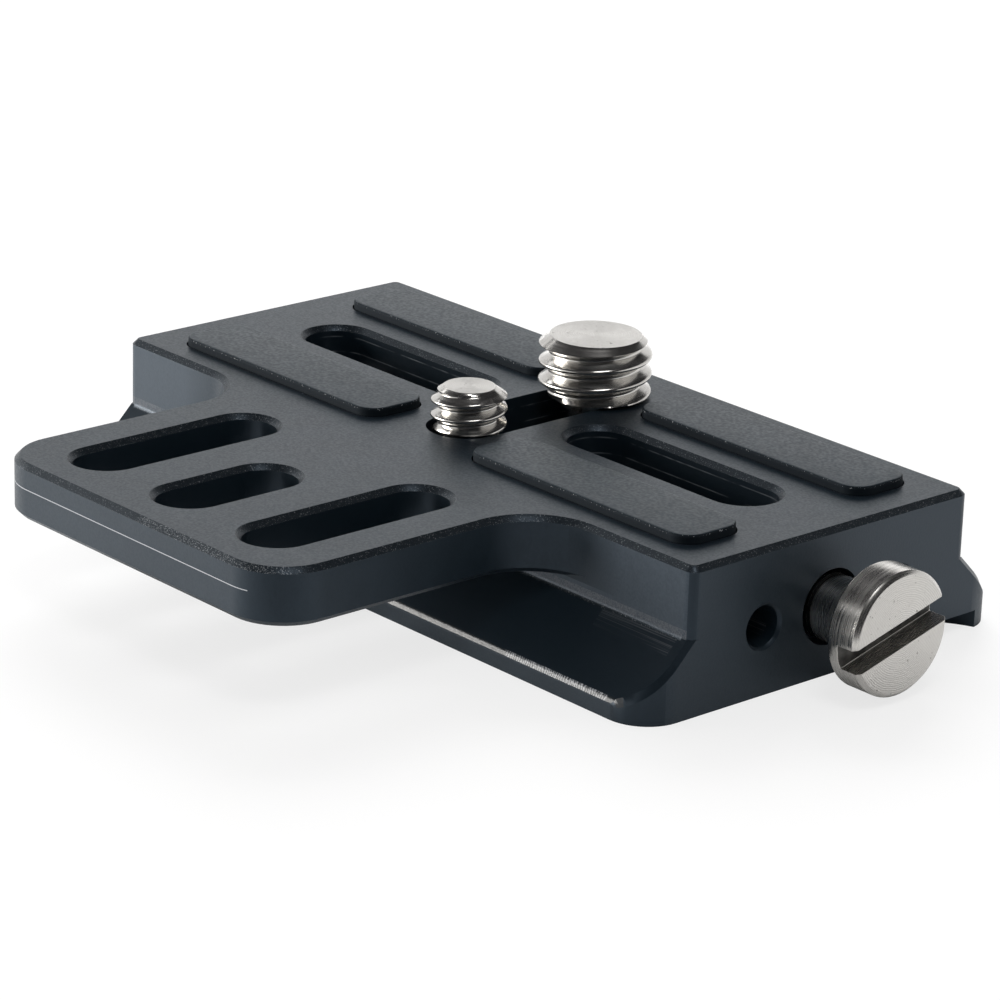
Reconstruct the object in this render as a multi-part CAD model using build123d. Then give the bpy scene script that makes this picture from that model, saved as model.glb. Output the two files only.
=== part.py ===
from build123d import *
import math
import os

# Quick release plate for a camera: a milled plate with a 45 degree dovetail foot, a slotted tongue, rubber
# strips, two camera screws captive in a cross slot and a stop screw at the right end.
# Millimetres. Origin: centre of the foot's underside. +X along the dovetail, -Y towards the tongue, +Z up.

# Milled body
body_length = 69.7
body_height = 12.0
deck_width = 29.8
edge_chamfer = 0.45
deck_corner_radius = 0.9

# Dovetail foot
foot_width = 39.0
foot_edge_height = 1.6
foot_corner_radius = 3.5
flange_outer_chamfer = 0.27
flange_end_chamfer = 0.4
flange_root_radius = 0.6
flange_slope = 45

# Tongue
tongue_width = 35.7
tongue_reach = 40.9
tongue_thickness = 4.65
tongue_corner_radius = 4.8
tongue_root_radius = 5.5
tongue_lower_chamfer = 0.45

# Slots through the tongue, clear sizes below their chamfers
tongue_slot_width = 5.4
tongue_slot_spacing = 10.7
tongue_slot_front_wall = 3.4
long_slot_length = 18.9
short_slot_length = 12.6

# Slots through the deck, clear sizes below their chamfers; the cross slot has none
deck_slot_width = 5.6
deck_slot_length = 21.9
deck_slot_offset = 16.7
cross_slot_length = 20.5
cross_slot_clearance = 0.05

# Recess under the deck, where the screw heads run
ledge_thickness = 4.0
recess_side_clearance = 0.1
recess_end_clearance = 0.8
side_recess_width = 8.4
side_recess_corner_radius = 1.5

# Shallow round cut under the far corner of the right end
scallop_depth = 1.45
scallop_width = 15.6
scallop_reach = 5.3
scallop_centre_y = 8.8

# Rubber strips
pad_length = 25.4
pad_width = 6.2
pad_corner_radius = 1.8
pad_edge_radius = 0.2
pad_proud = 0.7
pad_inset = 0.6
pad_gap = 0.15
pad_inner_end = 5.8
pad_inner_side = 6.0

# Camera screws: the thread's outer diameter and its height over the deck. Each thread ends just over the
# deck, and a round shoulder below it stands in the cross slot.
small_thread_diameter = 6.24
small_thread_height = 3.4
small_tip_chamfer = 1.2
small_screw_y = -6.7
large_thread_diameter = 9.4
large_thread_height = 5.2
large_tip_chamfer = 0.9
large_screw_y = 7.0
tip_chamfer_height = 0.75
thread_standoff = 0.08
thread_end_chamfer = 0.12
shoulder_diameter = 5.8
shoulder_depth = 0.7
neck_diameter = 4.6

# Drive head pressed on each camera screw, and the guide washer that slides above it
head_diameter = 9.0
head_height = 3.5
head_edge_chamfer = 0.3
spigot_diameter = 3.6
spigot_length = 2.0
key_slot_width = 1.6
key_slot_depth = 1.3
guide_thickness = 0.8
guide_width = 10.4
guide_bore_clearance = 0.05
guide_corner_radius = 1.0
running_gap = 0.05

# Stop screw, its hole and the smaller holes beside it
stop_height = 5.6
stop_head_diameter = 10.05
stop_head_thickness = 3.2
stop_head_chamfer = 0.35
stop_head_standoff = 4.25
stop_neck_diameter = 5.3
stop_neck_depth = 1.5
stop_thread_diameter = 4.9
stop_thread_length = 3.6
stop_thread_clearance = 0.05
stop_tap_diameter = 4.2
stop_slot_width = 2.05
stop_slot_depth = 1.9
stop_slot_angle = 14.7
stop_counterbore_diameter = 6.2
stop_counterbore_depth = 1.8
side_hole_diameter = 3.3
side_hole_mouth = 0.25
side_hole_depth = 6.0
side_hole_spacing = 14.4

# Worked out from the sizes above
half_length = body_length / 2
half_deck = deck_width / 2
half_foot = foot_width / 2
flange_top = foot_edge_height + half_foot - half_deck
deck_top = body_height
ledge_bottom = deck_top - ledge_thickness
cross_slot_width = small_thread_diameter + 2 * cross_slot_clearance
head_travel = (cross_slot_length - cross_slot_width) / 2
recess_width = guide_width + 2 * recess_side_clearance
recess_length = 2 * (head_travel + head_diameter / 2 + recess_end_clearance)
guide_top = ledge_bottom - running_gap
head_top = guide_top - guide_thickness - running_gap
thread_bottom = deck_top + thread_standoff
overcut = 1.0


def box_between(x0, x1, y0, y1, z0, z1):
    """A box given by its faces."""
    centre = ((x0 + x1) / 2, (y0 + y1) / 2, (z0 + z1) / 2)
    return Pos(*centre) * Box(x1 - x0, y1 - y0, z1 - z0)


def plain_slot(length, width, top, bottom, along_y):
    """A round-ended slot at the origin."""
    turn = Rot(0, 0, 90) if along_y else Rot(0, 0, 0)
    return Pos(0, 0, bottom) * extrude(turn * SlotOverall(length, width), top - bottom + overcut)


def slot_cutter(length, width, top, bottom, chamfer_size, along_y):
    """A round-ended slot at the origin, with a chamfered mouth at its top."""
    turn = Rot(0, 0, 90) if along_y else Rot(0, 0, 0)
    clear = turn * SlotOverall(length, width)
    mouth_size = 2 * (chamfer_size + overcut)
    mouth = turn * SlotOverall(length + mouth_size, width + mouth_size)
    funnel = loft([Pos(0, 0, top - chamfer_size) * clear, Pos(0, 0, top + overcut) * mouth])
    return plain_slot(length, width, top, bottom, along_y) + funnel


def is_flange_end(edge):
    """True for the edges where a sloping flange meets the rounded ends of the foot."""
    middle = edge @ 0.5
    beside_deck = half_deck < abs(middle.Y) < half_foot
    on_slope = foot_edge_height < middle.Z < flange_top
    return beside_deck and on_slope and abs(middle.X) > half_length - foot_corner_radius


def dovetail_foot():
    """The foot's cross-section run along X, rounded in plan at its corners, with its sharp edges broken."""
    slope_break = flange_outer_chamfer * math.cos(math.radians(flange_slope))
    with BuildSketch(Plane.YZ) as section:
        with BuildLine():
            Polyline(
                (-half_foot, 0),
                (half_foot, 0),
                (half_foot, foot_edge_height - flange_outer_chamfer),
                (half_foot - slope_break, foot_edge_height + slope_break),
                (half_deck, flange_top),
                (-half_deck, flange_top),
                (-half_foot + slope_break, foot_edge_height + slope_break),
                (-half_foot, foot_edge_height - flange_outer_chamfer),
                close=True,
            )
        make_face()
    bar = extrude(section.sketch, half_length, both=True)
    foot = bar & extrude(RectangleRounded(body_length, foot_width, foot_corner_radius), deck_top)
    return chamfer(foot.edges().filter_by(is_flange_end), flange_end_chamfer)


def flange_root(side):
    """The small fillet in the corner between the deck's side wall and the sloping flange."""
    slope = math.radians(flange_slope)
    reach = flange_root_radius * math.tan(slope / 2)
    along_slope = reach * math.cos(slope)
    with BuildSketch(Plane.YZ) as section:
        with BuildLine():
            start = (side * half_deck, flange_top + reach)
            end = (side * (half_deck + along_slope), flange_top - along_slope)
            TangentArc(start, end, tangent=(0, -1))
            Polyline(end, (side * (half_deck - reach), flange_top - reach), start)
        make_face()
    return extrude(section.sketch, half_length - deck_corner_radius, both=True)


def tongue_slab():
    """The tongue with its round corners, blended into the deck by a large fillet at each side."""
    root_y = -(half_deck - edge_chamfer - overcut)
    with BuildSketch() as outline:
        with BuildLine():
            Polyline(
                (-half_length + overcut, root_y),
                (-half_length + overcut, -half_deck),
                (-tongue_width / 2, -half_deck),
                (-tongue_width / 2, -tongue_reach),
                (tongue_width / 2, -tongue_reach),
                (tongue_width / 2, -half_deck),
                (half_length - overcut, -half_deck),
                (half_length - overcut, root_y),
                close=True,
            )
        make_face()
        front = outline.vertices().sort_by(Axis.Y)[:2]
        fillet(front, tongue_corner_radius)
        roots = outline.vertices().filter_by(lambda v: abs(abs(v.X) - tongue_width / 2) < edge_chamfer)
        fillet(roots.sort_by(Axis.Y)[-2:], tongue_root_radius)
    slab = Pos(0, 0, deck_top - tongue_thickness) * extrude(outline.sketch, tongue_thickness)
    lower = slab.faces().sort_by(Axis.Z)[0].outer_wire().edges()
    front_edges = lower.filter_by(lambda e: (e @ 0.5).Y < -half_deck - tongue_root_radius)
    return chamfer(front_edges, tongue_lower_chamfer)


def tongue_slots():
    """Three slots along Y that share the same wall at the tongue's front."""
    front_end = -tongue_reach + tongue_slot_front_wall
    bottom = deck_top - tongue_thickness - overcut
    cutters = []
    for column in (-1, 0, 1):
        length = short_slot_length if column == 0 else long_slot_length
        cutter = slot_cutter(length, tongue_slot_width, deck_top, bottom, edge_chamfer, along_y=True)
        cutters.append(Pos(column * tongue_slot_spacing, front_end + length / 2, 0) * cutter)
    return cutters


def deck_slots():
    """A slot along X on each side of the cross slot that holds the camera screws."""
    side = slot_cutter(deck_slot_length, deck_slot_width, deck_top, -overcut, edge_chamfer, along_y=False)
    cross = plain_slot(cross_slot_length, cross_slot_width, deck_top, -overcut, along_y=True)
    return [Pos(-deck_slot_offset, 0, 0) * side, Pos(deck_slot_offset, 0, 0) * side, cross]


def head_recess():
    """The cross-shaped recess under the deck: a run for the heads and a wide pocket under each deck slot."""
    wider = side_recess_width - deck_slot_width
    height = ledge_bottom + overcut
    run = box_between(
        -recess_width / 2, recess_width / 2, -recess_length / 2, recess_length / 2, -overcut, ledge_bottom
    )
    outline = RectangleRounded(deck_slot_length + wider, side_recess_width, side_recess_corner_radius)
    pocket = extrude(outline, height)
    cutters = [fillet(run.edges().filter_by(Axis.Z), guide_corner_radius)]
    for side in (-1, 1):
        cutters.append(Pos(side * deck_slot_offset, 0, -overcut) * pocket)
    return cutters


def pad_places():
    """Centres of the four rubber strips, by name."""
    x = pad_inner_end + pad_length / 2
    y = pad_inner_side + pad_width / 2
    return {
        "front_left_pad": (-x, -y),
        "front_right_pad": (x, -y),
        "rear_left_pad": (-x, y),
        "rear_right_pad": (x, y),
    }


def pad_pocket():
    """The shallow pocket that a strip is bonded into."""
    outline = RectangleRounded(pad_length + 2 * pad_gap, pad_width + 2 * pad_gap, pad_corner_radius + pad_gap)
    return Pos(0, 0, deck_top - pad_inset) * extrude(outline, pad_inset + overcut)


def end_holes(side, bore_radius):
    """The counterbored hole for a stop screw and the two small threaded holes beside it, at one end."""
    face = side * half_length
    through = half_length - deck_slot_offset
    inward = Plane(origin=(face, 0, stop_height), x_dir=(0, 1, 0), z_dir=(-side, 0, 0))
    bore = inward * Pos(0, 0, through / 2) * Cylinder(bore_radius, through)
    counterbore = inward * Cylinder(stop_counterbore_diameter / 2, 2 * stop_counterbore_depth)
    cutters = [bore, counterbore]
    mouth_radius = side_hole_diameter / 2 + side_hole_mouth
    for row in (-1, 1):
        place = inward * Pos(row * side_hole_spacing / 2, 0, 0)
        hole = Cylinder(side_hole_diameter / 2, side_hole_depth)
        cutters.append(place * Pos(0, 0, side_hole_depth / 2) * hole)
        mouth = Cone(mouth_radius, side_hole_diameter / 2, side_hole_mouth)
        cutters.append(place * Pos(0, 0, side_hole_mouth / 2) * mouth)
    return cutters


def end_scallop():
    """A shallow round cut in the foot's underside, open at the right end."""
    radius = (scallop_width**2 / 4 + scallop_reach**2) / (2 * scallop_reach)
    centre = (half_length - scallop_reach + radius, scallop_centre_y, (scallop_depth - overcut) / 2)
    return Pos(*centre) * Cylinder(radius, scallop_depth + overcut)


def plate_body():
    """The body, milled from one bar."""
    deck = extrude(RectangleRounded(body_length, deck_width, deck_corner_radius), deck_top)
    body = dovetail_foot() + deck + flange_root(-1) + flange_root(1) + tongue_slab()
    rim = body.faces().sort_by(Axis.Z)[-1].outer_wire().edges()
    body = chamfer(rim, edge_chamfer)
    body = body - tongue_slots() - deck_slots() - head_recess()
    body = body - end_holes(1, stop_thread_diameter / 2 + stop_thread_clearance)
    body = body - end_holes(-1, stop_tap_diameter / 2)
    body = body - [Pos(x, y, 0) * pad_pocket() for x, y in pad_places().values()]
    return body - end_scallop()


def pad():
    """One rubber strip, its upper edge slightly rounded."""
    strip = extrude(RectangleRounded(pad_length, pad_width, pad_corner_radius), pad_inset + pad_proud)
    strip = Pos(0, 0, deck_top - pad_inset) * strip
    top_edges = strip.faces().sort_by(Axis.Z)[-1].outer_wire().edges()
    return fillet(top_edges, pad_edge_radius)


def camera_screw(thread_diameter, thread_height, tip_chamfer):
    """Threaded stud, shoulder, neck and spigot in one piece; the thread is drawn at its outer diameter."""
    thread_radius = thread_diameter / 2
    shoulder_radius = shoulder_diameter / 2
    shoulder_bottom = deck_top - shoulder_depth
    tip = deck_top + thread_height
    neck_bottom = head_top
    spigot_bottom = head_top - spigot_length
    with BuildSketch(Plane.XZ) as profile:
        with BuildLine():
            Polyline(
                (0, spigot_bottom),
                (spigot_diameter / 2, spigot_bottom),
                (spigot_diameter / 2, neck_bottom),
                (neck_diameter / 2, neck_bottom),
                (neck_diameter / 2, shoulder_bottom),
                (shoulder_radius, shoulder_bottom),
                (shoulder_radius, thread_bottom),
                (thread_radius - thread_end_chamfer, thread_bottom),
                (thread_radius, thread_bottom + thread_end_chamfer),
                (thread_radius, tip - tip_chamfer_height),
                (thread_radius - tip_chamfer, tip),
                (0, tip),
                close=True,
            )
        make_face()
    return revolve(profile.sketch, Axis.Z)


def drive_head():
    """Round head pressed on a camera screw's spigot, with a slot for a coin in its underside."""
    bottom = head_top - head_height
    head = Pos(0, 0, bottom + head_height / 2) * Cylinder(head_diameter / 2, head_height)
    head = chamfer(head.edges().filter_by(GeomType.CIRCLE), head_edge_chamfer)
    socket = Pos(0, 0, head_top - spigot_length / 2) * Cylinder(spigot_diameter / 2, spigot_length)
    slot = Pos(0, 0, bottom) * Box(head_diameter + overcut, key_slot_width, 2 * key_slot_depth)
    return head - socket - slot


def guide_washer():
    """Flat-sided washer that slides along the recess and keeps the neck central in the cross slot."""
    outline = RectangleRounded(guide_width, head_diameter, guide_corner_radius)
    washer = extrude(outline, guide_thickness)
    bore = Cylinder(neck_diameter / 2 + guide_bore_clearance, 2 * guide_thickness + overcut)
    return Pos(0, 0, guide_top - guide_thickness) * (washer - bore)


def stop_screw():
    """Slotted stop screw about its own axis: the head faces +Z and the body's end face lies at zero."""
    neck = stop_neck_diameter / 2
    thread = stop_thread_diameter / 2
    back = stop_head_standoff
    front = back + stop_head_thickness
    tip = -stop_neck_depth - stop_thread_length
    radius = stop_head_diameter / 2
    with BuildSketch(Plane.XZ) as profile:
        with BuildLine():
            Polyline(
                (0, tip),
                (thread - stop_head_chamfer, tip),
                (thread, tip + stop_head_chamfer),
                (thread, -stop_neck_depth),
                (neck, -stop_neck_depth),
                (neck, back),
                (radius - stop_head_chamfer, back),
                (radius, back + stop_head_chamfer),
                (radius, front - stop_head_chamfer),
                (radius - stop_head_chamfer, front),
                (0, front),
                close=True,
            )
        make_face()
    screw = revolve(profile.sketch, Axis.Z)
    slot = Box(stop_head_diameter + overcut, stop_slot_width, 2 * stop_slot_depth)
    return screw - Pos(0, 0, front) * Rot(0, 0, stop_slot_angle) * slot


def assembly():
    """Every piece in its place, by node name."""
    pieces = {"plate_body": plate_body()}
    for name, (x, y) in pad_places().items():
        pieces[name] = Pos(x, y, 0) * pad()
    small = camera_screw(small_thread_diameter, small_thread_height, small_tip_chamfer)
    large = camera_screw(large_thread_diameter, large_thread_height, large_tip_chamfer)
    for size, screw, y in (("small", small, small_screw_y), ("large", large, large_screw_y)):
        pieces[size + "_camera_screw"] = Pos(0, y, 0) * screw
        pieces[size + "_screw_head"] = Pos(0, y, 0) * drive_head()
        pieces[size + "_screw_guide"] = Pos(0, y, 0) * guide_washer()
    outward = Plane(origin=(half_length, 0, stop_height), x_dir=(0, 1, 0), z_dir=(1, 0, 0))
    pieces["stop_screw"] = outward.location * stop_screw()
    return pieces


os.makedirs("parts", exist_ok=True)
for node, shape in assembly().items():
    export_step(shape, "parts/" + node + ".step")
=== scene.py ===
import math
import bpy
from mathutils import Matrix, Vector


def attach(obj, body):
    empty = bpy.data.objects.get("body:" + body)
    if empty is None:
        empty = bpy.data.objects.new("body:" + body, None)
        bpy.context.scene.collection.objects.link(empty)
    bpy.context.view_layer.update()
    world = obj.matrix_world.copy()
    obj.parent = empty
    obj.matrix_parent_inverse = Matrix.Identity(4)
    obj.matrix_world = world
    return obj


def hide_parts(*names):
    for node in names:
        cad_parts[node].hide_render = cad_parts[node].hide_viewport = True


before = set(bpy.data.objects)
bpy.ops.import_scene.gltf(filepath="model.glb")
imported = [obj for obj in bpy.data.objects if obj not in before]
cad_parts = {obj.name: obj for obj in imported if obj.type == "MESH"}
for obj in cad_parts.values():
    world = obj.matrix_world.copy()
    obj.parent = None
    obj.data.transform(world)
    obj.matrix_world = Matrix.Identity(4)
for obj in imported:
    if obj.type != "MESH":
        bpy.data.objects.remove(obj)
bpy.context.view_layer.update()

mm = 0.001


def deselectAll():
    if bpy.context.object and bpy.context.object.mode != "OBJECT":
        bpy.ops.object.mode_set(mode="OBJECT")
    bpy.ops.object.select_all(action="DESELECT")


def makeActive(piece):
    deselectAll()
    piece.select_set(True)
    bpy.context.view_layer.objects.active = piece


def settle(piece):  # puts the place into the mesh
    makeActive(piece)
    bpy.ops.object.transform_apply(location=True, rotation=True, scale=True)


def applyModifier(piece, kind, **values):
    makeActive(piece)
    modifier = piece.modifiers.new(kind.title().replace("_", ""), kind)
    for key, value in values.items():
        setattr(modifier, key, value)
    bpy.ops.object.modifier_apply(modifier=modifier.name)


def smoothByAngle(piece, degrees):
    makeActive(piece)
    bpy.ops.object.shade_smooth_by_angle(angle=math.radians(degrees))


meshCare = {
    "merge": 1e-6,        # metres
    "flatAngle": 0.3,     # degrees, within which CAD facets count as one flat face
    "edgeAngle": 25,      # sharper edges are softened
    "smoothAngle": 32,
    "faceWeight": 80,
}


def copyOfNode(node, name):
    # a merged copy of a CAD node, free to be refined
    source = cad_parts[node]
    piece = bpy.data.objects.new(name, source.data.copy())
    piece.data.name = name
    piece.data.materials.clear()
    bpy.context.scene.collection.objects.link(piece)
    makeActive(piece)
    bpy.ops.object.mode_set(mode="EDIT")
    bpy.ops.mesh.select_all(action="SELECT")
    bpy.ops.mesh.remove_doubles(threshold=meshCare["merge"])
    bpy.ops.mesh.dissolve_limited(angle_limit=math.radians(meshCare["flatAngle"]), delimit=set())
    bpy.ops.object.mode_set(mode="OBJECT")
    return piece


def softenEdges(piece, width):
    applyModifier(piece, "BEVEL", width=width * mm, segments=2, limit_method="ANGLE",
                  angle_limit=math.radians(meshCare["edgeAngle"]), use_clamp_overlap=True,
                  harden_normals=False)
    smoothByAngle(piece, meshCare["smoothAngle"])
    # large flat faces keep their own normals, and the soft edges take up the turn
    applyModifier(piece, "WEIGHTED_NORMAL", mode="FACE_AREA", weight=meshCare["faceWeight"],
                  keep_sharp=True)


def newMaterial(name, colour, metallic, roughness):
    material = bpy.data.materials.new(name)
    material.use_nodes = True
    nodes = material.node_tree.nodes
    shader = nodes["Principled BSDF"]
    shader.inputs["Base Color"].default_value = (*colour, 1)
    shader.inputs["Metallic"].default_value = metallic
    shader.inputs["Roughness"].default_value = roughness
    return material, nodes, material.node_tree.links, shader


def partsOf(material):
    return material.node_tree.nodes, material.node_tree.links, material.node_tree.nodes["Principled BSDF"]


def setSheen(shader, level, tint):
    shader.inputs["Specular IOR Level"].default_value = level
    shader.inputs["Specular Tint"].default_value = (*tint, 1)


def connect(links, shader, colour=None, roughness=None, normal=None):
    for socket, source in (("Base Color", colour), ("Roughness", roughness), ("Normal", normal)):
        if source is not None:
            links.new(source, shader.inputs[socket])


def feed(links, socket, value):  # value is another node's output or a plain value
    if hasattr(value, "is_output"):
        links.new(value, socket)
    else:
        socket.default_value = value


def noiseField(nodes, links, scale, detail, stretch=(1, 1, 1)):
    # noise over Object coordinates, scale in features per metre
    place = nodes.new("ShaderNodeTexCoord")
    mapping = nodes.new("ShaderNodeMapping")
    mapping.inputs["Scale"].default_value = stretch
    noise = nodes.new("ShaderNodeTexNoise")
    noise.inputs["Scale"].default_value = scale
    noise.inputs["Detail"].default_value = detail
    links.new(place.outputs["Object"], mapping.inputs["Vector"])
    links.new(mapping.outputs["Vector"], noise.inputs["Vector"])
    return noise.outputs["Fac"]


def ramp(nodes, links, source, low, high, start=0.35, end=0.65):
    # low and high are colours, or single values for roughness and masks
    node = nodes.new("ShaderNodeValToRGB")
    for element, position, value in zip(node.color_ramp.elements, (start, end), (low, high)):
        element.position = position
        element.color = (*value, 1) if hasattr(value, "__len__") else (value, value, value, 1)
    links.new(source, node.inputs["Fac"])
    return node.outputs["Color"]


def bump(nodes, links, source, strength, distance, normal=None):
    node = nodes.new("ShaderNodeBump")
    node.inputs["Strength"].default_value = strength
    node.inputs["Distance"].default_value = distance * mm
    links.new(source, node.inputs["Height"])
    if normal is not None:
        links.new(normal, node.inputs["Normal"])
    return node.outputs["Normal"]


def compute(nodes, links, operation, first, second=0):
    node = nodes.new("ShaderNodeMath")
    node.operation = operation
    feed(links, node.inputs[0], first)
    feed(links, node.inputs[1], second)
    return node.outputs[0]


def mixColours(nodes, links, factor, first, second, blend="MIX"):
    mix = nodes.new("ShaderNodeMix")
    mix.data_type = "RGBA"
    mix.blend_type = blend
    feed(links, mix.inputs["Factor"], factor)
    feed(links, mix.inputs["A"], first)
    feed(links, mix.inputs["B"], second)
    return mix.outputs["Result"]


def objectAxis(nodes, links, axis):
    # one Object coordinate, in metres
    place = nodes.new("ShaderNodeTexCoord")
    split = nodes.new("ShaderNodeSeparateXYZ")
    links.new(place.outputs["Object"], split.inputs["Vector"])
    return split.outputs[axis]


def keepInside(nodes, links, limits, level=1):
    # level stays where every limit, in millimetres, holds, and is 0 elsewhere
    for axis, operation, limit in limits:
        inside = compute(nodes, links, operation, objectAxis(nodes, links, axis), limit * mm)
        level = compute(nodes, links, "MULTIPLY", level, inside)
    return level


anodised = {
    "colour": (0.0045, 0.0085, 0.0125),
    "lighter": (0.0070, 0.0120, 0.0170),
    "roughness": (0.38, 0.48),
    "sheen": 0.5,
    "tint": (0.68, 0.83, 1.0),
    "clouds": 260,        # features per metre, as all that follow
    "grain": 5200,
    "grainDepth": 0.012,  # millimetres
    "grainStrength": 0.4,
}


def blackAnodised(name, deeper=1.0):
    material, nodes, links, shader = newMaterial(name, anodised["colour"], 0.0, 0.4)
    setSheen(shader, anodised["sheen"], anodised["tint"])
    fine = noiseField(nodes, links, anodised["grain"], 2.0)
    clouds = noiseField(nodes, links, anodised["clouds"], 3.0)
    connect(links, shader,
            colour=ramp(nodes, links, clouds, anodised["colour"], anodised["lighter"]),
            roughness=ramp(nodes, links, fine, *anodised["roughness"]),
            normal=bump(nodes, links, fine, anodised["grainStrength"], anodised["grainDepth"] * deeper))
    return material


wallPaintedLight = {
    "deeper": 1.6,        # grain, against the deck's
    # painted light: lighter shades for the front wall and for the end faces
    "front": ((0.023, 0.030, 0.039), (0.036, 0.046, 0.057)),
    "end": ((0.010, 0.015, 0.020), (0.017, 0.023, 0.029)),
    "share": (0.3, 0.7),
    "fadeFrom": 23.0,     # distance from the middle, beside the tongue's root, kept in painted shade
    "fadeOver": 4.0,
    "lightUnder": 7.3,
    "stripUnder": 6.95,
    "stripGrain": 8500,
    "stripShare": (0.3, 0.8),
    "stripColour": (0.105, 0.105, 0.11),
}


def wallAnodisedPaintedLight(name, shades):
    # the deck's front wall and the end faces get lighter shades than the plate: painted light, where these
    # faces catch more light
    material = blackAnodised(name, wallPaintedLight["deeper"])
    nodes, links, shader = partsOf(material)
    grain = noiseField(nodes, links, anodised["grain"], 3.0)
    connect(links, shader, ramp(nodes, links, grain, *shades, *wallPaintedLight["share"]))
    return material


def frontWallAnodisedPaintedLight():
    # the painted light fades in away from the tongue's root, which keeps a painted shade above the wall's
    # lowest part, and a speckled strip lies along the wall's foot
    material = wallAnodisedPaintedLight("wallAnodisedPaintedLight", wallPaintedLight["front"])
    nodes, links, shader = partsOf(material)
    light = shader.inputs["Base Color"].links[0].from_socket
    fromMiddle = compute(nodes, links, "ABSOLUTE", objectAxis(nodes, links, "X"))
    past = compute(nodes, links, "SUBTRACT", fromMiddle, wallPaintedLight["fadeFrom"] * mm)
    fade = compute(nodes, links, "MULTIPLY", past, 1 / (wallPaintedLight["fadeOver"] * mm))
    foot = keepInside(nodes, links, [("Z", "LESS_THAN", wallPaintedLight["lightUnder"])])
    fade = compute(nodes, links, "MAXIMUM", fade, foot)
    colour = mixColours(nodes, links, fade, (*anodised["colour"], 1), light)
    strip = keepInside(nodes, links, [("Z", "LESS_THAN", wallPaintedLight["stripUnder"])],
                       noiseField(nodes, links, wallPaintedLight["stripGrain"], 2.0))
    strip = ramp(nodes, links, strip, 0.0, 1.0, *wallPaintedLight["stripShare"])
    connect(links, shader, mixColours(nodes, links, strip, colour, (*wallPaintedLight["stripColour"], 1)))
    return material


milled = {"lines": 13000, "roughness": (0.31, 0.36), "strength": 0.3, "grainDepth": 0.008}


def milledAnodised(name, stretch, depth):
    # fine tool lines, along X on the flanges and level round a slot's wall
    material, nodes, links, shader = newMaterial(name, anodised["colour"], 0.0, 0.32)
    setSheen(shader, anodised["sheen"], anodised["tint"])
    lines = noiseField(nodes, links, milled["lines"], 1.0, stretch)
    fine = noiseField(nodes, links, anodised["grain"], 2.0)
    first = bump(nodes, links, lines, milled["strength"], depth)
    connect(links, shader, roughness=ramp(nodes, links, lines, *milled["roughness"]),
            normal=bump(nodes, links, fine, milled["strength"], milled["grainDepth"], first))
    return material


chamferLook = {
    "grain": 8000,
    "grainDepth": 0.016,
    "roughness": (0.32, 0.5),
    "specks": 9500,
    "shades": ((0.002, 0.004, 0.006), (0.21, 0.22, 0.23)),
    "share": (0.61, 0.86),
    "corner": [("X", "GREATER_THAN", 1.5), ("Y", "LESS_THAN", -38.5)],  # the tongue's front right corner
    "cornerGlints": 0.085,
}


def speckledEdge(name):
    # chamfers: near black with fine light specks, painted glints, more of them at the tongue's front right
    # corner
    material, nodes, links, shader = newMaterial(name, anodised["colour"], 0.0, 0.36)
    setSheen(shader, anodised["sheen"], anodised["tint"])
    fine = noiseField(nodes, links, chamferLook["grain"], 3.0)
    specks = noiseField(nodes, links, chamferLook["specks"], 1.0)
    corner = keepInside(nodes, links, chamferLook["corner"], chamferLook["cornerGlints"])
    level = compute(nodes, links, "ADD", specks, corner)
    connect(links, shader,
            colour=ramp(nodes, links, level, *chamferLook["shades"], *chamferLook["share"]),
            roughness=ramp(nodes, links, fine, *chamferLook["roughness"]),
            normal=bump(nodes, links, fine, 0.8, chamferLook["grainDepth"]))
    return material


rimHighlightLook = {
    "patches": 700,
    "grain": 6500,
    "grainDepth": 0.015,
    "roughness": (0.25, 0.5),
    "shades": ((0.02, 0.024, 0.028), (0.5, 0.51, 0.52)),
    "share": (0.38, 0.64),
}


def paintedHighlightEdge(name):
    # thin rims with a painted highlight, the light line where an edge catches the light, patchy along their
    # length
    material, nodes, links, shader = newMaterial(name, (0.05, 0.054, 0.058), 0.0, 0.3)
    patches = noiseField(nodes, links, rimHighlightLook["patches"], 3.0)
    fine = noiseField(nodes, links, rimHighlightLook["grain"], 2.0)
    connect(links, shader,
            colour=ramp(nodes, links, patches, *rimHighlightLook["shades"], *rimHighlightLook["share"]),
            roughness=ramp(nodes, links, fine, *rimHighlightLook["roughness"]),
            normal=bump(nodes, links, fine, 0.6, rimHighlightLook["grainDepth"]))
    return material


chatterHighlight = {
    # painted highlight: the ticks keep to the stretch the light reaches past the tongue's shadow
    "zone": [("X", "GREATER_THAN", 19.4), ("X", "LESS_THAN", 30.9), ("Y", "LESS_THAN", 0)],
    "spacing": 0.24,
    "drift": 0.9,         # unevenness of the spacing
    "driftNoise": 900,
    "breaks": 3400,
    "swing": 0.22,        # of the ticks about their middle level
    "middle": 0.62,
    "share": (0.2, 0.5),
    "colour": (0.36, 0.37, 0.39),
}


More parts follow.
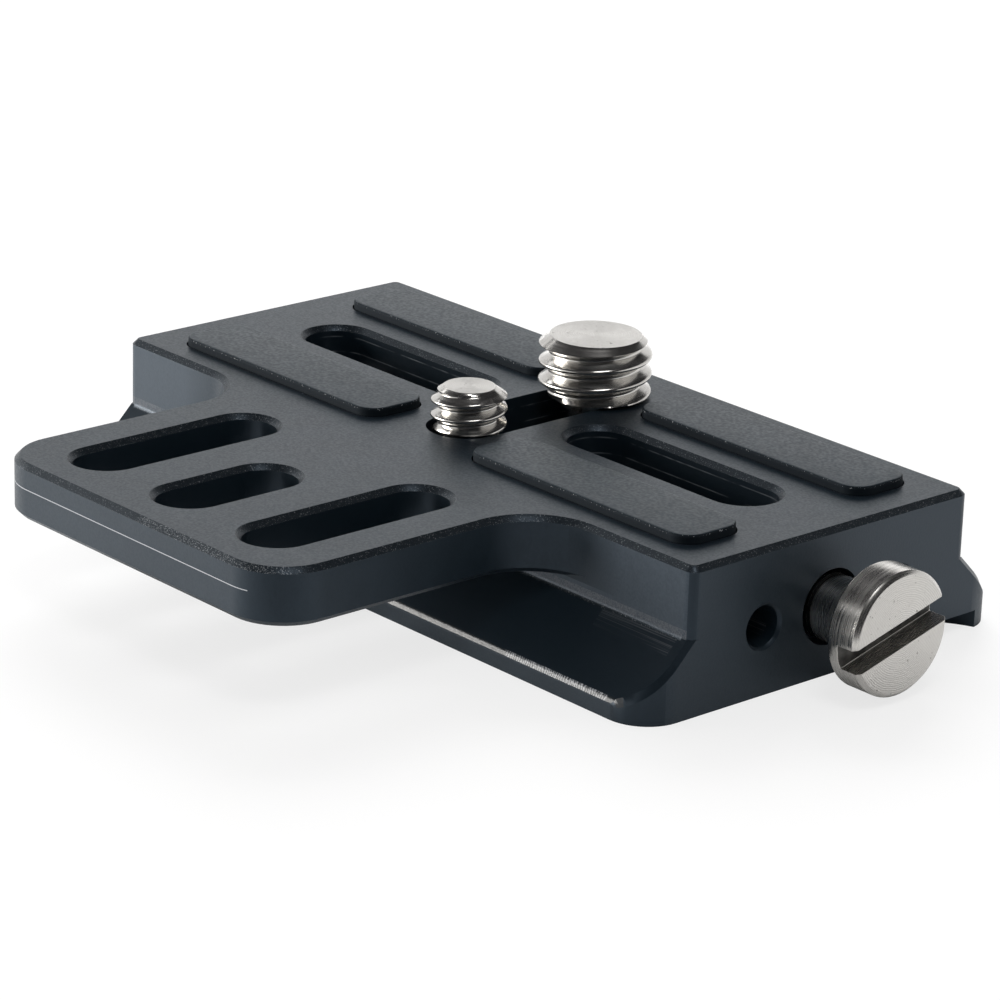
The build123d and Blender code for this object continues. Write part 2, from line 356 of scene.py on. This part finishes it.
def chatterHighlightEdge(name):
    # the flange's outer chamfer: bright ticks along X, a painted highlight on the tool's ripples over the
    # stretch that lies out of the tongue's shadow
    material, nodes, links, shader = newMaterial(name, anodised["colour"], 0.0, 0.3)
    drift = compute(nodes, links, "MULTIPLY", noiseField(nodes, links, chatterHighlight["driftNoise"], 2.0),
                    chatterHighlight["drift"] * mm)
    along = compute(nodes, links, "ADD", objectAxis(nodes, links, "X"), drift)
    turns = compute(nodes, links, "MULTIPLY", along, 2 * math.pi / (chatterHighlight["spacing"] * mm))
    wave = compute(nodes, links, "SINE", turns)
    swing = compute(nodes, links, "MULTIPLY", wave, chatterHighlight["swing"])
    ticks = compute(nodes, links, "ADD", swing, chatterHighlight["middle"])
    breaks = noiseField(nodes, links, chatterHighlight["breaks"], 3.0)
    level = keepInside(nodes, links, chatterHighlight["zone"], compute(nodes, links, "MULTIPLY", ticks, breaks))
    connect(links, shader,
            colour=ramp(nodes, links, level, anodised["colour"], chatterHighlight["colour"], *chatterHighlight["share"]),
            normal=bump(nodes, links, breaks, 0.6, 0.02))
    return material


flangeLines = {
    "lines": 15000,
    "stretch": (0.006, 1, 1),
    "share": (0.53, 0.66),
    "zone": [("X", "GREATER_THAN", 25.5), ("X", "LESS_THAN", 33.6),
             ("Y", "GREATER_THAN", -16.1), ("Y", "LESS_THAN", 0)],
    "colour": (0.045, 0.05, 0.055),
}


def flangeMilled():
    # a few light cutter lines lie close to the deck's wall, towards the right end
    material = milledAnodised("flangeMilled", (0.012, 1, 1), 0.0025)
    nodes, links, shader = partsOf(material)
    streaks = noiseField(nodes, links, flangeLines["lines"], 1.0, flangeLines["stretch"])
    streaks = ramp(nodes, links, streaks, 0.0, 1.0, *flangeLines["share"])
    level = keepInside(nodes, links, flangeLines["zone"], streaks)
    connect(links, shader, ramp(nodes, links, level, anodised["colour"], flangeLines["colour"], 0, 1))
    return material


slotRings = {
    "heights": (11.05, 9.7),
    "half": 0.05,
    "zone": [("Y", "GREATER_THAN", -15)],  # the deck's slots, not the tongue's
    "patches": 500,
    "share": (0.4, 0.62),
    "colour": (0.09, 0.10, 0.11),
}


def slotWallMilled():
    # faint rings a cutter's steps left on the walls
    material = milledAnodised("slotWallMilled", (0.03, 0.03, 1), 0.003)
    nodes, links, shader = partsOf(material)
    z = objectAxis(nodes, links, "Z")
    rings = 0
    for height in slotRings["heights"]:
        offset = compute(nodes, links, "ABSOLUTE", compute(nodes, links, "SUBTRACT", z, height * mm))
        ring = compute(nodes, links, "LESS_THAN", offset, slotRings["half"] * mm)
        rings = compute(nodes, links, "ADD", rings, ring)
    rings = keepInside(nodes, links, slotRings["zone"], rings)
    level = compute(nodes, links, "MULTIPLY", rings, noiseField(nodes, links, slotRings["patches"], 2.0))
    connect(links, shader,
            ramp(nodes, links, level, anodised["colour"], slotRings["colour"], *slotRings["share"]))
    return material


stepLine = {
    "height": 9.97,
    "half": 0.035,
    "zone": [("X", "GREATER_THAN", -16.6), ("X", "LESS_THAN", 14.6), ("Y", "LESS_THAN", -37.2)],
    "colour": (0.42, 0.43, 0.45),
}


def tongueSide(name):
    # the plate's finish with one light cutter line round the tongue's front
    material = blackAnodised(name)
    nodes, links, shader = partsOf(material)
    above = compute(nodes, links, "SUBTRACT", objectAxis(nodes, links, "Z"), stepLine["height"] * mm)
    offset = compute(nodes, links, "ABSOLUTE", above)
    line = keepInside(nodes, links, stepLine["zone"],
                      compute(nodes, links, "LESS_THAN", offset, stepLine["half"] * mm))
    plain = shader.inputs["Base Color"].links[0].from_socket
    connect(links, shader, mixColours(nodes, links, line, plain, (*stepLine["colour"], 1)))
    return material


rubber = {
    "shades": ((0.006, 0.011, 0.015), (0.009, 0.015, 0.020)),
    "tint": (0.75, 0.87, 1.0),
    "roughness": (0.40, 0.54),
    "clouds": 300,
    "grain": 3600,
    "sideShadeColour": (0.003, 0.005, 0.007),
    "cutSheen": 0.22,
    "cutGrain": 3000,
    "specks": 8000,
    "speckColour": (0.30, 0.31, 0.32),
    "speckShare": (0.66, 0.74),
    "specksOver": 12.5,
}


def padRubber(name):
    material, nodes, links, shader = newMaterial(name, rubber["shades"][0], 0.0, 0.55)
    setSheen(shader, 0.5, rubber["tint"])
    fine = noiseField(nodes, links, rubber["grain"], 3.0)
    clouds = noiseField(nodes, links, rubber["clouds"], 3.0)
    connect(links, shader,
            colour=ramp(nodes, links, clouds, *rubber["shades"]),
            roughness=ramp(nodes, links, fine, *rubber["roughness"]),
            normal=bump(nodes, links, fine, 0.25, 0.006))
    return material


def padShadedSide(name):
    # the pads' cut sides: dull, and nearly black as painted shade, with a few bright specks at the top edge
    material, nodes, links, shader = newMaterial(name, rubber["sideShadeColour"], 0.0, 0.7)
    setSheen(shader, rubber["cutSheen"], anodised["tint"])
    specks = keepInside(nodes, links, [("Z", "GREATER_THAN", rubber["specksOver"])],
                        noiseField(nodes, links, rubber["specks"], 1.0))
    cutGrain = noiseField(nodes, links, rubber["cutGrain"], 3.0)
    connect(links, shader,
            colour=ramp(nodes, links, specks, rubber["sideShadeColour"], rubber["speckColour"],
                        *rubber["speckShare"]),
            normal=bump(nodes, links, cutGrain, 0.6, 0.02))
    return material


steelLook = {
    "colour": (0.56, 0.545, 0.52),
    "lines": 7000,
    "lineStretch": 0.02,
    "clouds": 420,
    "grain": 3200,
    "faceGrain": 5200,
    "pits": 3100,
    "pitShare": (0.24, 0.30),
    "ringBend": 2.5,
    "slotShades": ((0.07, 0.07, 0.068), (0.16, 0.155, 0.145)),
}


def shadesOf(colour, darker, lighter):
    return [c * darker for c in colour], [min(1, c * lighter) for c in colour]


def ringField(nodes, links, axis, centre, spacing):
    # rings round an axis through centre, a turned face's tool marks
    place = nodes.new("ShaderNodeTexCoord")
    mapping = nodes.new("ShaderNodeMapping")
    mapping.inputs["Location"].default_value = [-c * mm for c in centre]
    wave = nodes.new("ShaderNodeTexWave")
    wave.wave_type = "RINGS"
    wave.rings_direction = axis
    wave.inputs["Scale"].default_value = math.pi / (10 * spacing * mm)
    wave.inputs["Distortion"].default_value = steelLook["ringBend"]
    wave.inputs["Detail"].default_value = 2.0
    wave.inputs["Detail Scale"].default_value = 0.4
    links.new(place.outputs["Object"], mapping.inputs["Vector"])
    links.new(mapping.outputs["Vector"], wave.inputs["Vector"])
    return wave.outputs["Fac"]


def turnedSteel(name, axis, roughness, depth):
    # tool lines run round the axis, so the noise changes along it only
    colour = steelLook["colour"]
    material, nodes, links, shader = newMaterial(name, colour, 1.0, 0.2)
    stretch = [1 if letter == axis else steelLook["lineStretch"] for letter in "XYZ"]
    lines = noiseField(nodes, links, steelLook["lines"], 3.0, stretch)
    fine = noiseField(nodes, links, steelLook["grain"], 2.0)
    clouds = noiseField(nodes, links, steelLook["clouds"], 3.0)
    first = bump(nodes, links, lines, 0.9, depth)
    connect(links, shader,
            colour=ramp(nodes, links, clouds, *shadesOf(colour, 0.88, 1.08)),
            roughness=ramp(nodes, links, lines, *roughness),
            normal=bump(nodes, links, fine, 0.1, depth * 0.4, first))
    return material


def slotSteel(name):
    # a sawn slot: rough, dull and darker metal, blotchy
    material, nodes, links, shader = newMaterial(name, (0.10, 0.098, 0.093), 1.0, 0.5)
    lines = noiseField(nodes, links, 9000, 2.0, (1, 0.05, 0.05))
    blotches = noiseField(nodes, links, 900, 3.0)
    connect(links, shader,
            colour=ramp(nodes, links, blotches, *steelLook["slotShades"]),
            roughness=ramp(nodes, links, lines, 0.4, 0.6),
            normal=bump(nodes, links, lines, 0.6, 0.008))
    return material


def turnedFace(name, axis, centre, spacing, roughness=(0.28, 0.4), depth=0.009):
    # ring marks from the tool, with a few small pits
    colour = steelLook["colour"]
    material, nodes, links, shader = newMaterial(name, colour, 1.0, 0.34)
    rings = ringField(nodes, links, axis, centre, spacing)
    fine = noiseField(nodes, links, steelLook["faceGrain"], 2.0)
    pits = ramp(nodes, links, noiseField(nodes, links, steelLook["pits"], 1.0),
                [c * 0.5 for c in colour], [1, 1, 1], *steelLook["pitShare"])
    arcs = ramp(nodes, links, rings, *shadesOf(colour, 0.90, 1.07), 0.1, 0.9)
    first = bump(nodes, links, rings, 0.8, depth)
    connect(links, shader,
            colour=mixColours(nodes, links, 1.0, arcs, pits, "MULTIPLY"),
            roughness=ramp(nodes, links, fine, *roughness),
            normal=bump(nodes, links, fine, 0.25, 0.006, first))
    return material


finishes = {
    "plate": blackAnodised("plateAnodised"),
    "rim": paintedHighlightEdge("rimPaintedHighlight"),
    "chatterHighlight": chatterHighlightEdge("chamferChatterHighlight"),
    "tongueSide": tongueSide("tongueSideAnodised"),
    "flange": flangeMilled(),
    "wall": frontWallAnodisedPaintedLight(),
    "end": wallAnodisedPaintedLight("endAnodisedPaintedLight", wallPaintedLight["end"]),
    "slotWall": slotWallMilled(),
    "edge": speckledEdge("edgeSpeckled"),
    "pad": padRubber("padRubber"),
    "padShadedSide": padShadedSide("padSidePaintedShade"),
    "steel": turnedSteel("screwSteel", "Z", (0.15, 0.27), 0.0006),
    "smallTop": turnedFace("smallScrewTop", "Z", (0, -6.7, 0), 0.16),
    "largeTop": turnedFace("largeScrewTop", "Z", (0, 7.0, 0), 0.2),
    "stop": turnedSteel("stopScrewSteel", "X", (0.2, 0.34), 0.012),
    "stopFace": turnedFace("stopScrewFace", "X", (0, 0, 5.6), 0.17, (0.3, 0.42), 0.014),
    "stopSlot": slotSteel("stopScrewSlot"),
}
print("materials made:", len(finishes))


def giveFinishes(piece, *keys):
    piece.data.materials.clear()
    for key in keys:
        piece.data.materials.append(finishes[key])


def paintFaces(piece, key, test):
    # faces are chosen by their centre and normal
    slotNumber = list(piece.data.materials).index(finishes[key])
    for face in piece.data.polygons:
        if test(face.center, face.normal):
            face.material_index = slotNumber


def between(value, low, high):
    return low * mm < value < high * mm


plateLook = {
    "edgeWidth": 0.05,
    "chamfersOver": 11.4,
    "flangesUnder": 6.4,
    "rims": (11.3, 11.75),
    "wallFoot": {"out": (14.85, 15.4), "height": (5.7, 6.7)},
    "outerChamfer": {"past": 19.2, "height": (1.25, 1.9)},
    "tongueSide": {"before": -30, "height": (7, 11.6)},
    "wall": {"out": (14.5, 15.2), "over": 6},
    "endsPast": 34.5,
    "slots": [(-16.7, 0, 11.2, 3.0), (16.7, 0, 11.2, 3.0), (0, 0, 3.4, 10.5),
              (-10.7, -28.05, 3.0, 9.7), (0, -31.2, 3.0, 6.6), (10.7, -28.05, 3.0, 9.7)],
}


def insideSlot(centre):  # a slot is its centre and half its length both ways
    for x, y, wide, deep in plateLook["slots"]:
        if abs(centre.x - x * mm) < wide * mm and abs(centre.y - y * mm) < deep * mm and centre.z > 0.1 * mm:
            return True
    return False


def makePlate():
    piece = copyOfNode("plate_body", "milledPlate")
    softenEdges(piece, plateLook["edgeWidth"])
    giveFinishes(piece, "plate", "edge", "flange", "slotWall", "rim", "chatterHighlight", "tongueSide", "wall", "end")
    foot, outer = plateLook["wallFoot"], plateLook["outerChamfer"]
    tongue, wall = plateLook["tongueSide"], plateLook["wall"]
    # chamfers face up at 45 degrees and lie near the deck's top
    paintFaces(piece, "edge", lambda c, n: 0.6 < n.z < 0.8 and c.z > plateLook["chamfersOver"] * mm)
    paintFaces(piece, "flange",
               lambda c, n: abs(n.y) > 0.5 and n.z > 0.3 and c.z < plateLook["flangesUnder"] * mm)
    paintFaces(piece, "slotWall", lambda c, n: abs(n.z) < 0.1 and insideSlot(c))
    # the rims take the painted highlight
    paintFaces(piece, "rim", lambda c, n: 0.12 < n.z < 0.6 and between(c.z, *plateLook["rims"]))
    # the fillet at the foot of the deck's wall is grained like the chamfers, with their painted glints
    paintFaces(piece, "edge", lambda c, n: between(abs(c.y), *foot["out"]) and between(c.z, *foot["height"]))
    # the flange's outer chamfer takes the painted highlight
    paintFaces(piece, "chatterHighlight",
               lambda c, n: abs(c.y) > outer["past"] * mm and between(c.z, *outer["height"]) and n.z > 0.2)
    paintFaces(piece, "tongueSide",
               lambda c, n: abs(n.z) < 0.1 and c.y < tongue["before"] * mm
               and between(c.z, *tongue["height"]) and not insideSlot(c))
    # the deck's walls take the painted light, with painted shade beside the tongue's root
    paintFaces(piece, "wall",
               lambda c, n: abs(n.y) > 0.9 and between(abs(c.y), *wall["out"]) and c.z > wall["over"] * mm)
    # the end faces take the painted light
    paintFaces(piece, "end", lambda c, n: abs(n.x) > 0.95 and abs(c.x) > plateLook["endsPast"] * mm)
    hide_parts("plate_body")
    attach(piece, "plate")


padLook = {"smoothAngle": 40, "sidesUnder": 0.8}  # sides: faces whose normal rises less than this


def makePads():
    for node in ("front_left_pad", "front_right_pad", "rear_left_pad", "rear_right_pad"):
        pad = copyOfNode(node, node + "_soft")
        smoothByAngle(pad, padLook["smoothAngle"])
        giveFinishes(pad, "pad", "padShadedSide")
        # the sides take the painted shade
        paintFaces(pad, "padShadedSide", lambda c, n: n.z < padLook["sidesUnder"])
        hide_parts(node)
        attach(pad, "plate")


makePlate()
print("plate done")
makePads()
print("pads done")


screwSizes = {
    "small": {"y": -6.7, "radius": 3.12, "pitch": 1.27, "phase": 0.70, "top": 15.4, "tip": 2.1,
              "tipDrop": 0.72, "bottom": 11.3},
    "large": {"y": 7.0, "radius": 4.7, "pitch": 1.5875, "phase": 1.15, "top": 17.2, "tip": 3.8,
              "tipDrop": 0.75, "bottom": 12.08},
}


threadForm = {
    "rise": [(0.56, 0.0), (0.545, 0.06), (0.50, 0.115), (0.085, 0.36), (0.035, 0.405), (0.008, 0.455)],
    "steps": 72,          # round one turn
    "blankSides": 144,
    "runOut": 4,          # radius gained per height where the thread begins
    "merge": 2e-6,
    "smoothAngle": 28,
    "shoulderTop": 12.06,  # below the deck a thread keeps inside the cross slot
    "shoulderRadius": 2.86,
    "neckGap": 0.02,
    "blankGap": 0.01,
}


def threadProfile(radius, pitch):
    # one pitch of the thread, root to root, as (radius, height)
    rise = threadForm["rise"]
    fall = [(depth, 1 - height) for depth, height in reversed(rise)]
    return [(radius - depth * pitch, height * pitch) for depth, height in rise + [(0.0, 0.5)] + fall]


def drawProfile(name, points):
    # a plane merged to one vertex, extruded from point to point
    deselectAll()
    bpy.ops.mesh.primitive_plane_add(size=1 * mm)
    profile = bpy.context.object
    profile.name = name
    bpy.ops.object.mode_set(mode="EDIT")
    bpy.ops.mesh.merge(type="CENTER")
    bpy.ops.transform.translate(value=(points[0][0] * mm, 0, points[0][1] * mm))
    for before, after in zip(points, points[1:]):
        move = ((after[0] - before[0]) * mm, 0, (after[1] - before[1]) * mm)
        bpy.ops.mesh.extrude_region_move(TRANSFORM_OT_translate={"value": move})
    bpy.ops.object.mode_set(mode="OBJECT")
    return profile


def makeThread(name, size):
    pitch = size["pitch"]
    start = size["bottom"] - 1.5 * pitch
    start += (size["phase"] - start) % pitch - 0.5 * pitch  # a crest lies at phase for angle zero
    points = threadProfile(size["radius"], pitch)
    thread = drawProfile(name + "Thread", points)
    turns = math.ceil((size["top"] - start) / pitch) + 2
    applyModifier(thread, "SCREW", axis="Z", angle=math.radians(360), screw_offset=pitch * mm,
                  iterations=turns, steps=threadForm["steps"], render_steps=threadForm["steps"],
                  use_merge_vertices=True, merge_threshold=1e-6, use_smooth_shade=True)
    # below and above, the thread runs out on rings of its root, which are then closed
    root = points[0][0] * mm
    low, high = (size["bottom"] - start) * mm, (size["top"] - start + 0.5 * pitch) * mm
    for vertex in thread.data.vertices:
        x, y, z = vertex.co
        reach = math.hypot(x, y)
        if z <= low or z >= high:
            wanted, z = root, min(max(z, low), high)
        else:
            wanted = min(reach, root + (z - low) * threadForm["runOut"])
            if z < (threadForm["shoulderTop"] - start) * mm:
                wanted = min(wanted, threadForm["shoulderRadius"] * mm)
        vertex.co = (x * wanted / reach, y * wanted / reach, z)
    thread.location = (0, size["y"] * mm, start * mm)
    settle(thread)
    makeActive(thread)
    bpy.ops.object.mode_set(mode="EDIT")
    bpy.ops.mesh.select_all(action="SELECT")
    bpy.ops.mesh.remove_doubles(threshold=threadForm["merge"])
    bpy.ops.mesh.dissolve_degenerate(threshold=1e-6)
    bpy.ops.mesh.fill_holes(sides=0)
    bpy.ops.mesh.normals_make_consistent(inside=False)
    bpy.ops.object.mode_set(mode="OBJECT")
    return thread


def cutTip(thread, size):
    # the turned blank whose tip the thread runs out on
    deselectAll()
    fall = (size["radius"] - size["tip"]) / size["tipDrop"]  # radius gained per millimetre down
    depth = size["top"] - size["bottom"] + 1
    height = size["top"] - threadForm["blankGap"] - depth / 2
    bpy.ops.mesh.primitive_cone_add(vertices=threadForm["blankSides"], depth=depth * mm,
                                    radius1=(size["tip"] + fall * depth) * mm, radius2=size["tip"] * mm,
                                    location=(0, size["y"] * mm, height * mm))
    blank = bpy.context.object
    applyModifier(thread, "BOOLEAN", operation="INTERSECT", object=blank, solver="EXACT")
    bpy.data.objects.remove(blank)


def makeNeck(name, size, node):
    # the CAD's neck and spigot, cut off above, with its shoulder kept
    neck = copyOfNode(node, name + "Neck")
    makeActive(neck)
    bpy.ops.object.mode_set(mode="EDIT")
    bpy.ops.mesh.select_all(action="SELECT")
    bpy.ops.mesh.bisect(plane_co=(0, 0, (size["bottom"] - threadForm["neckGap"]) * mm), plane_no=(0, 0, 1),
                        use_fill=True, clear_outer=True, threshold=1e-7)
    bpy.ops.object.mode_set(mode="OBJECT")
    return neck


def makeCameraScrews():
    for key, size in screwSizes.items():
        thread = makeThread(key, size)
        cutTip(thread, size)
        neck = makeNeck(key, size, key + "_camera_screw")
        makeActive(thread)
        neck.select_set(True)
        bpy.ops.object.join()
        smoothByAngle(thread, threadForm["smoothAngle"])
        thread.name = key + "ThreadedScrew"
        giveFinishes(thread, "steel", key + "Top")
        paintFaces(thread, key + "Top", lambda c, n: n.z > 0.9 and c.z > (size["top"] - 0.1) * mm)
        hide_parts(key + "_camera_screw")
        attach(thread, key + "_screw")
        print(key, "screw:", len(thread.data.polygons), "faces")


def dressHidden():
    for node in ("small_screw_head", "large_screw_head", "small_screw_guide", "large_screw_guide"):
        giveFinishes(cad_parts[node], "steel")


stopLook = {"edgeWidth": 0.06, "slotBefore": 41.5}  # the slot's floor lies nearer than this


def makeStopScrew():
    piece = copyOfNode("stop_screw", "slottedStopScrew")
    softenEdges(piece, stopLook["edgeWidth"])
    giveFinishes(piece, "stop", "stopFace", "stopSlot")
    paintFaces(piece, "stopFace", lambda c, n: n.x > 0.95)
    paintFaces(piece, "stopSlot", lambda c, n: n.x > 0.95 and c.x < stopLook["slotBefore"] * mm)
    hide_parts("stop_screw")
    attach(piece, "stop")


makeCameraScrews()
dressHidden()
makeStopScrew()
print("screws done")


studio = {
    # the camera: degrees round the part, then millimetres
    "azimuth": 48.17, "elevation": 19.62, "roll": 1.83, "distance": 340.53, "across": -2.50, "upward": -7.36,
    "focal": 150.234, "sensor": 36, "deckTop": 12.0,
    "floorColour": (0.86, 0.86, 0.86),
    "floorLift": 0.74,    # towards white, for the camera only
    "worldLight": 0.5,
    # dark cards: place and size in metres, turn in degrees
    "darkCeiling": {"place": (0, 0, 0.6), "turn": (0, 0, 48.17), "size": (2.0, 2.0)},
    "darkFront": {"place": (0.42, -0.38, 0.42), "turn": (90, 0, 48.17), "size": (1.15, 0.84)},
    "darkApron": {"place": (0.24, -0.215, 0.0003), "turn": (0, 0, -41.83), "size": (0.5, 0.44)},
    # lamps: place and size in metres, power in watts
    "leftBox": {"place": (-0.75, -0.62, 0.16), "size": (0.6, 0.35), "power": 9.3,
                "colour": (1.0, 0.975, 0.94)},
    "topBox": {"place": (-0.6, 0.5, 0.5), "size": (0.6, 0.6), "power": 10.0, "soft": True},  # no reflection
    "backBox": {"place": (-0.63, 0.57, 0.3), "size": (0.6, 0.3), "power": 0.33},
    "sideGlint": {"place": (-0.75, 0.06, 0.62), "size": (0.16, 0.3), "power": 0.5},
    "glintBox": {"place": (0.23, -0.117, 0.486), "size": (0.2, 0.12), "power": 0.6},
}


def placeCamera():
    az, el, roll = (math.radians(studio[k]) for k in ("azimuth", "elevation", "roll"))
    back = Vector((math.sin(az) * math.cos(el), -math.cos(az) * math.cos(el), math.sin(el)))
    right = Vector((math.cos(az), math.sin(az), 0))
    up = back.cross(right)
    rolledRight = right * math.cos(roll) + up * math.sin(roll)
    rolledUp = up * math.cos(roll) - right * math.sin(roll)
    place = back * studio["distance"] + rolledRight * studio["across"] + rolledUp * studio["upward"]
    place.z += studio["deckTop"]
    bpy.ops.object.camera_add()
    camera = bpy.context.object
    camera.data.lens = studio["focal"]
    camera.data.sensor_width = studio["sensor"]
    camera.data.clip_start = 0.01
    turn = Matrix((rolledRight, rolledUp, back)).transposed().to_4x4()
    camera.matrix_world = Matrix.Translation(place * mm) @ turn
    bpy.context.scene.camera = camera


def areaLight(name):
    values = studio[name]
    place = values["place"]
    bpy.ops.object.light_add(type="AREA", location=place)
    light = bpy.context.object
    light.name = name
    light.data.shape = "RECTANGLE"
    light.data.size, light.data.size_y = values["size"]
    light.data.energy = values["power"]
    light.data.color = values.get("colour", (1, 1, 1))
    light.visible_glossy = not values.get("soft", False)
    aim = -Vector(place)
    light.rotation_euler = aim.to_track_quat("-Z", "Y").to_euler()


def makeFloor():
    deselectAll()
    bpy.ops.mesh.primitive_plane_add(size=6)
    floor = bpy.context.object
    floor.name = "studioFloor"
    material, nodes, links, shader = newMaterial("paleFloor", studio["floorColour"], 0.0, 0.6)
    shader.inputs["Specular IOR Level"].default_value = 0.2
    # the camera sees the floor lifted towards white, with the object's shadow kept
    white = nodes.new("ShaderNodeEmission")
    path = nodes.new("ShaderNodeLightPath")
    lift = compute(nodes, links, "MULTIPLY", path.outputs["Is Camera Ray"], studio["floorLift"])
    mix = nodes.new("ShaderNodeMixShader")
    links.new(lift, mix.inputs["Fac"])
    links.new(shader.outputs[0], mix.inputs[1])
    links.new(white.outputs[0], mix.inputs[2])
    links.new(mix.outputs[0], nodes["Material Output"].inputs["Surface"])
    floor.data.materials.append(material)


def darkCard(name):
    # seen only in reflections, as a studio's black flag
    values = studio[name]
    deselectAll()
    bpy.ops.mesh.primitive_plane_add(size=1, location=values["place"],
                                     rotation=[math.radians(t) for t in values["turn"]])
    card = bpy.context.object
    card.scale = (*values["size"], 1)
    card.name = name
    material, nodes, links, shader = newMaterial(name, (0.03, 0.03, 0.032), 0.0, 1.0)
    shader.inputs["Specular IOR Level"].default_value = 0
    card.data.materials.append(material)
    card.visible_camera = False
    card.visible_shadow = False
    card.visible_diffuse = False


def makeWorld():
    # an even light, and plain white for the camera and for reflections
    world = bpy.data.worlds.new("studioWorld")
    world.use_nodes = True
    bpy.context.scene.world = world
    nodes, links = world.node_tree.nodes, world.node_tree.links
    background = nodes["Background"]
    white = nodes.new("ShaderNodeBackground")
    for node, strength in ((background, studio["worldLight"]), (white, 1.0)):
        node.inputs["Color"].default_value = (1, 1, 1, 1)
        node.inputs["Strength"].default_value = strength
    path = nodes.new("ShaderNodeLightPath")
    either = compute(nodes, links, "MAXIMUM", path.outputs["Is Camera Ray"], path.outputs["Is Glossy Ray"])
    mix = nodes.new("ShaderNodeMixShader")
    links.new(either, mix.inputs["Fac"])
    links.new(background.outputs[0], mix.inputs[1])
    links.new(white.outputs[0], mix.inputs[2])
    links.new(mix.outputs[0], nodes["World Output"].inputs["Surface"])


placeCamera()
makeFloor()
makeWorld()
for name in ("darkCeiling", "darkFront", "darkApron"):
    darkCard(name)
for name in ("leftBox", "topBox", "backBox", "sideGlint", "glintBox"):
    areaLight(name)
bpy.context.scene.view_settings.view_transform = "Standard"
print("studio done")
